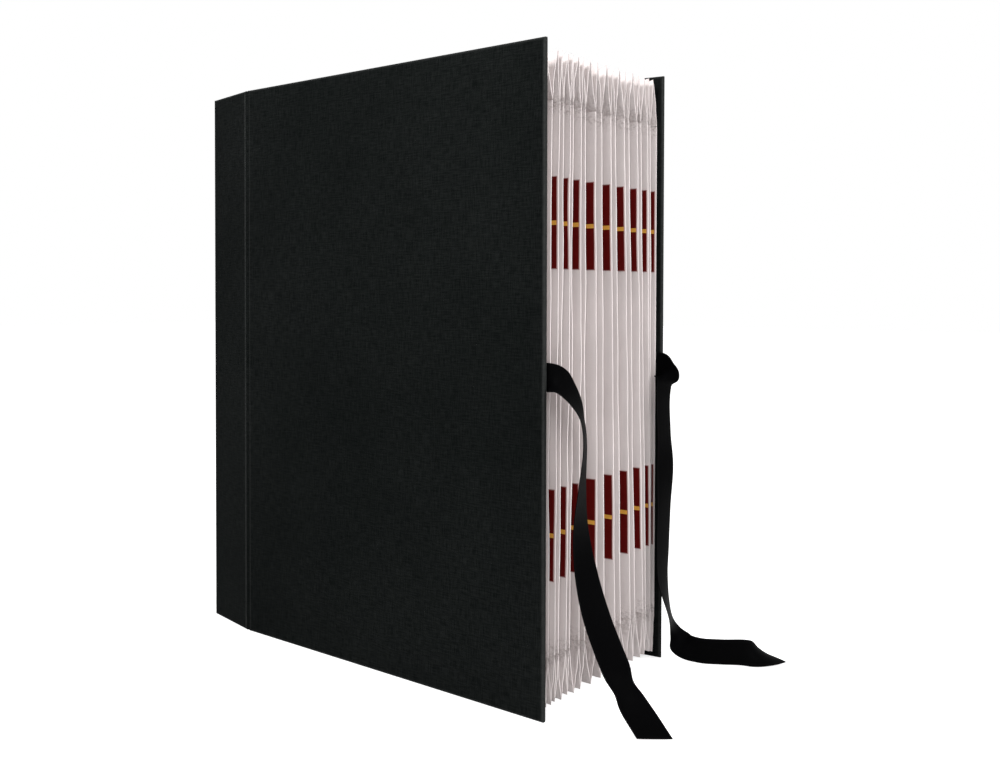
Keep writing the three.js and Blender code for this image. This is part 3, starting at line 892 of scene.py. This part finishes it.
def makePleats(name, node, spotAt, alongCount, seed):
    look = bellowsLook
    steps = look["panelSteps"]
    count = 2 * pocketPlan["count"] * steps
    vertices, faces = [], []
    for i in range(alongCount + 1):
        for k in range(count + 1):
            vertices.append(spotAt(k / steps, (i / alongCount) ** look["mouthCrowding"], seed))
    for i in range(alongCount):
        for k in range(count):
            c = i * (count + 1) + k
            faces.append((c, c + 1, c + count + 2, c + count + 1))
    piece = newPiece(name, vertices, faces, bellowsPaper)
    shell = piece.modifiers.new("paper", "SOLIDIFY")
    shell.thickness = look["thickness"] * mm
    shell.offset = 0
    solidMesh = finishedMesh(piece)
    piece.modifiers.clear()
    piece.data = solidMesh
    tidyNormals(piece)
    shadeSmooth(piece, 22)
    settle(piece, "case", node)


# A point of a pleat at the top or bottom: q counts the folds across, a runs from spine to mouth
def endSpot(baseZ, direction):
    look = bellowsLook

    def spot(q, a, seed):
        x = leafStartX + (mouthX - leafStartX) * a
        rise, middle = pleatShape(q)
        fold = round(q)
        depth = pocketPlan["gussetDepth"]
        tip = look["tipDrop"]
        if fold % 2:
            tip += look["tipWander"] * (0.5 + crumple(fold * 1.7, a * 3, seed))
        lift = look["topLift"] if direction > 0 else look["bottomLift"]
        # A tip stands up where it ends at the mouth
        tip *= 1 - lift * max(0.0, (a - look["liftStart"]) / look["liftSpan"]) ** 1.5
        z = baseZ + direction * rise * (depth - max(0.0, tip))
        nearTip = (fold % 2) * (1 - 2 * abs(q - fold))
        wander = crumple(fold * 3.1 + seed, a * 4, 0.5) * look["tipJitter"] * nearTip
        level = baseZ + direction * rise * depth
        y = leafY(q / 2, x, level) + wander
        y += middle * look["panelCrease"] * crumple(math.floor(q) * 5.3 + seed, a * 2.5, rise) * 2.2
        step = round((q % 1) * look["panelSteps"])
        if 0 < step < look["panelSteps"]:
            uneven = 0.5 + 1.2 * crumple(q * 7.7, a * 2.0, seed + 20)
            y += (step % 2 * 2 - 1) * look["fineCrease"] * uneven
        band = max(0.0, 1 - rise / look["crumpleBand"]) if 0 < q < 2 * pocketPlan["count"] else 0.0
        y += band * look["crumpleDepth"] * crumple(q * 2.1, a * 40, seed + 9)
        z += band * look["crumpleDepth"] * crumple(q * 2.7, a * 34, seed + 3)
        ragged = look["ragged"] * rise * min(0.0, crumple(fold * 2.3, seed, 7.7) - 0.1)
        ragged *= max(0.0, (a - look["raggedStart"]) / look["raggedSpan"])
        limit = mouthHalf + 0.4 if x > hingeX else halfWidth(x) + 0.2
        return toFrame(x + ragged, max(-limit, min(limit, y)), z)
    return spot


def backSpot(q, a, seed):
    rise, middle = pleatShape(q)
    z = leafBottom + (leafTop - leafBottom) * a
    x = leafStartX - gap - rise * (pocketPlan["backFoldDepth"] - bellowsLook["backSlack"])
    y = foldPlace(q / 2) * startHalf + middle * bellowsLook["backCrease"] * crumple(q, a * 12, seed)
    return toFrame(x, y, z)


pleatSeed = bellowsLook["seed"]
alongSteps = bellowsLook["alongSteps"]
makePleats("topBellows", "top_bellows", endSpot(leafTop + gap, 1), alongSteps, pleatSeed)
makePleats("bottomBellows", "bottom_bellows", endSpot(leafBottom - gap, -1), alongSteps,
           pleatSeed + bellowsLook["bottomSeed"])
makePleats("backBellows", "back_bellows", backSpot, bellowsLook["backSteps"],
           pleatSeed + bellowsLook["backSeed"])
print("bellows made")


def labelStations(length, count):
    border = labelLook["border"]
    edge = [0, labelLook["paleEdgeWidth"] - 0.1, labelLook["paleEdgeWidth"] + 0.15]
    middle = [border + (length - 2 * border) * k / count for k in range(count + 1)]
    return edge + middle + [length - s for s in reversed(edge)]


# Index labels: two on every other leaf, following its face
def makeLabel(name, node, index, centreZ):
    look = labelLook
    us = labelStations(look["width"], look["columns"])
    vs = labelStations(look["height"], look["rows"])
    vertices, faces, uvs, rims = [], [], [], []
    offFace = pocketPlan["leafThickness"] / 2 + gap * 0.4
    for layer in (0, 1):
        for u in us:
            for v in vs:
                x = mouthX - look["edgeMargin"] - u
                z = centreZ - look["height"] / 2 + v
                y = leafSurface(index, x, z) - offFace - layer * look["thickness"]
                vertices.append(toFrame(x, y, z))
                uvs.append((u * mm, (v - look["height"] / 2) * mm))
                rims.append(min(u, look["width"] - u, v, look["height"] - v))
    size = len(us) * len(vs)
    spot = lambda layer, i, j: layer * size + i * len(vs) + j
    for layer in (0, 1):
        for i in range(len(us) - 1):
            for j in range(len(vs) - 1):
                quad = ((i, j), (i + 1, j), (i + 1, j + 1), (i, j + 1))
                faces.append([spot(layer, a, b) for a, b in quad])
    border = gridBorder(len(us) - 1, len(vs) - 1)
    for k, here in enumerate(border):
        ahead = border[(k + 1) % len(border)]
        faces.append([spot(0, *here), spot(0, *ahead), spot(1, *ahead), spot(1, *here)])
    piece = newPiece(name, vertices, faces, labelPaper, uvs, "label", rims)
    tidyNormals(piece)
    shadeSmooth(piece, 40)
    settle(piece, "case", node)


# A leaf's own waves, read from its finished mesh so that its labels lie on it
def leafSurface(index, x, z):
    grid = leafGrids[index]
    u = (x - leafStartX) / (mouthX - leafStartX) * leafLook["columns"]
    v = (z - leafBottom) / (leafTop - leafBottom) * leafLook["rows"]
    i, j = min(int(u), leafLook["columns"] - 1), min(int(v), leafLook["rows"] - 1)
    a, b = u - i, v - j
    low = grid[i, j] * (1 - a) + grid[i + 1, j] * a
    high = grid[i, j + 1] * (1 - a) + grid[i + 1, j + 1] * a
    return low * (1 - b) + high * b


leafGrids = {}


def readLeaf(index):
    found = {}
    for vertex in bpy.data.objects[f"pocketLeaf{index:02d}"].data.vertices:
        u = (vertex.co.x / mm + centreX - leafStartX) / (mouthX - leafStartX) * leafLook["columns"]
        v = (vertex.co.z / mm - leafBottom) / (leafTop - leafBottom) * leafLook["rows"]
        found.setdefault((round(u), round(v)), []).append(vertex.co.y / mm)
    leafGrids[index] = {key: sum(ys) / len(ys) for key, ys in found.items()}


for i in range(2, pocketPlan["count"] + 1, 2):
    readLeaf(i)
    for row, sign in (("upper", 1), ("lower", -1)):
        number = f"{i // 2:02d}"
        centreZ = caseHeight / 2 + sign * labelLook["offset"]
        makeLabel(f"{row}Label{number}", f"{row}_label_{number}", i, centreZ)
print("labels made")


# Floor, world and lamps
lightSetup = {
    "floorColour": (0.8, 0.8, 0.8),
    "floorLift": 0.75,
    "worldStrength": 0.54,
    "lamps": [
        # name, place, target, size, power
        ("keyLamp", (1.3, -1.7, 1.5), (0.1, 0.0, 0.22), 0.7, 11.0),
        ("coverLamp", (0.11, -0.5, 0.72), (0.11, -0.06, 0.3), 0.2, 4.0),
        ("mouthLamp", (2.0, 0.0, 0.9), (0.12, 0.0, 0.2), 0.6, 20.0),
        ("topLamp", (0.2, 0.3, 2.2), (0.0, 0.0, 0.1), 1.0, 6.0),
    ],
}


# Rays that show the background itself: the camera's, and those in a mirror or through glass
def seenDirectly(tree):
    seen = addNode(tree, "ShaderNodeLightPath").outputs
    mirrored = calc(tree, "MAXIMUM", seen["Is Glossy Ray"], seen["Is Transmission Ray"])
    return calc(tree, "MAXIMUM", seen["Is Camera Ray"], mirrored)


def addStudio():
    setup = lightSetup
    mesh = bpy.data.meshes.new("floor")
    s = 6.0
    mesh.from_pydata([(-s, -s, 0), (s, -s, 0), (s, s, 0), (-s, s, 0)], [], [(0, 1, 2, 3)])
    floor = bpy.data.objects.new("floor", mesh)
    floor.location.z = -0.0002
    bpy.context.scene.collection.objects.link(floor)
    material, tree, shader = newMaterial("studioFloor", setup["floorColour"])
    shader.inputs["Base Color"].default_value = (*setup["floorColour"], 1)
    shader.inputs["Roughness"].default_value = 0.9
    shader.inputs["Specular IOR Level"].default_value = 0.0
    direct = seenDirectly(tree)
    shader.inputs["Emission Color"].default_value = (1, 1, 1, 1)
    tree.links.new(calc(tree, "MULTIPLY", direct, setup["floorLift"]), shader.inputs["Emission Strength"])
    mesh.materials.append(material)

    world = bpy.data.worlds.new("studio")
    bpy.context.scene.world = world
    world.use_nodes = True
    tree = world.node_tree
    background = tree.nodes["Background"]
    background.inputs["Color"].default_value = (1, 1, 1, 1)
    direct = seenDirectly(tree)
    strength = spread(tree, direct, 0.0, 1.0, setup["worldStrength"], 1.0)
    tree.links.new(strength, background.inputs["Strength"])

    for name, place, target, size, power in setup["lamps"]:
        lamp = bpy.data.lights.new(name, "AREA")
        lamp.shape = "DISK"
        lamp.size = size
        lamp.energy = power
        item = bpy.data.objects.new(name, lamp)
        item.location = place
        item.rotation_euler = (Vector(target) - Vector(place)).to_track_quat("-Z", "Y").to_euler()
        bpy.context.scene.collection.objects.link(item)
    bpy.context.scene.view_settings.view_transform = "Standard"


addStudio()
print("studio set")
